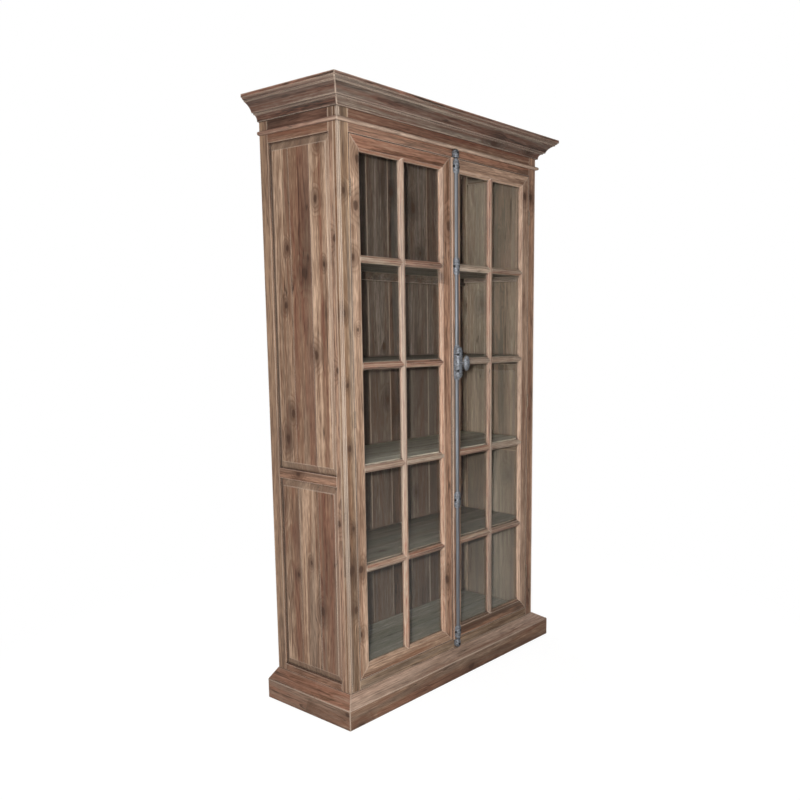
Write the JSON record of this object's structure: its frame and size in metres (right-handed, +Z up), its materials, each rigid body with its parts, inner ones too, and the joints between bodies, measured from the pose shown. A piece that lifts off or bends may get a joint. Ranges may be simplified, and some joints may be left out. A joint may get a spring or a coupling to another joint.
{
  "type": "glazed bookcase",
  "caption": "Tall glazed bookcase in old pine: two barred glass doors, panelled sides, stepped cornice, sloping plinth, shelves, and a rack and pinion bolt with an oval knob.",
  "frame": {"origin": "middle of the overall footprint, on the floor", "axes": "+X to the right seen from the front, +Y to the back, +Z up"},
  "size_m": [1.31, 0.5, 2.3],
  "materials": {
    "pine_cornice": "waxed old pine, reddish brown",
    "pine_frame": "waxed old pine, warm brown",
    "pine_panels": "waxed old pine, grey-brown boards",
    "pine_doors": "waxed old pine, pinkish brown",
    "pine_bars": "waxed old pine, pale on the edges",
    "pine_plinth": "waxed old pine, knotty",
    "pine_inside": "dull dark pine boards",
    "glass": "clear",
    "putty": "matt, aged",
    "bolt_iron": "pitted bare iron, waxed",
    "hinge_steel": "dull steel"
  },
  "bodies": {
    "case": {"back_boards": "pine_inside", "case_floor": "pine_inside", "case_hinge_leaves": "hinge_steel", "cornice_front": "pine_cornice", "cornices_side": "pine_cornice", "door_stop": "pine_inside", "face_bottom_rail": "pine_frame", "face_left_stile": "pine_frame", "face_right_stile": "pine_frame", "face_top_rail": "pine_frame", "frieze_front": "pine_cornice", "friezes_side": "pine_cornice", "keepers": "bolt_iron", "left_back_stile": "pine_frame", "left_front_stile": "pine_frame", "left_panels": "pine_panels", "left_rails": "pine_frame", "neck_moulding_front": "pine_cornice", "neck_mouldings_side": "pine_cornice", "plinth_back_rail": "pine_plinth", "plinth_board_front": "pine_plinth", "plinth_boards_side": "pine_plinth", "plinth_cap_front": "pine_plinth", "plinth_caps_side": "pine_plinth", "right_back_stile": "pine_frame", "right_front_stile": "pine_frame", "right_panels": "pine_panels", "right_rails": "pine_frame", "shelf_1": "pine_inside", "shelf_2": "pine_inside", "shelf_3": "pine_inside", "shelf_4": "pine_inside", "shelf_cleats": "pine_inside", "top_board": "pine_cornice"},
    "left_door": {"left_door_bottom_rail": "pine_doors", "left_door_cross_bars": "pine_bars", "left_door_hinge_leaves": "hinge_steel", "left_door_hinge_stile": "pine_doors", "left_door_meeting_stile": "pine_doors", "left_door_panes": "glass", "left_door_putty": "putty", "left_door_top_rail": "pine_doors", "left_door_upright_bar": "pine_bars"},
    "right_door": {"right_door_bottom_rail": "pine_doors", "right_door_cover_strip": "pine_doors", "right_door_cross_bars": "pine_bars", "right_door_hinge_leaves": "hinge_steel", "right_door_hinge_stile": "pine_doors", "right_door_meeting_stile": "pine_doors", "right_door_panes": "glass", "right_door_putty": "putty", "right_door_top_rail": "pine_doors", "right_door_upright_bar": "pine_bars", "bolt_case": "bolt_iron", "rod_guides": "bolt_iron"},
    "knob": {"bolt_knob": "bolt_iron"},
    "upper_rod": {"upper_rod": "bolt_iron"},
    "lower_rod": {"lower_rod": "bolt_iron"}
  },
  "joints": [
    {"name": "left_door_hinge", "type": "hinge", "parent": "case", "child": "left_door", "pos_m": [-0.5305, -0.1786, 1.142], "axis": [0, 0, -1], "range_deg": [0, 115]},
    {"name": "right_door_hinge", "type": "hinge", "parent": "case", "child": "right_door", "pos_m": [0.5305, -0.1786, 1.142], "axis": [0, 0, 1], "range_deg": [0, 115]},
    {"name": "knob_turn", "type": "hinge", "parent": "right_door", "child": "knob", "pos_m": [0.0245, -0.19, 1.33058], "axis": [0, 1, 0], "range_deg": [0, 90]},
    {"name": "upper_rod_slide", "type": "slide", "parent": "right_door", "child": "upper_rod", "axis": [0, 0, 1], "range_m": [0, 0.0126]},
    {"name": "lower_rod_slide", "type": "slide", "parent": "right_door", "child": "lower_rod", "axis": [0, 0, -1], "range_m": [0, 0.01257]}
  ],
  "couplings": [
    {"joint": "upper_rod_slide", "follows": "lower_rod_slide", "ratio": 1},
    {"joint": "knob_turn", "follows": "lower_rod_slide", "rad_per_m": 125}
  ]
}
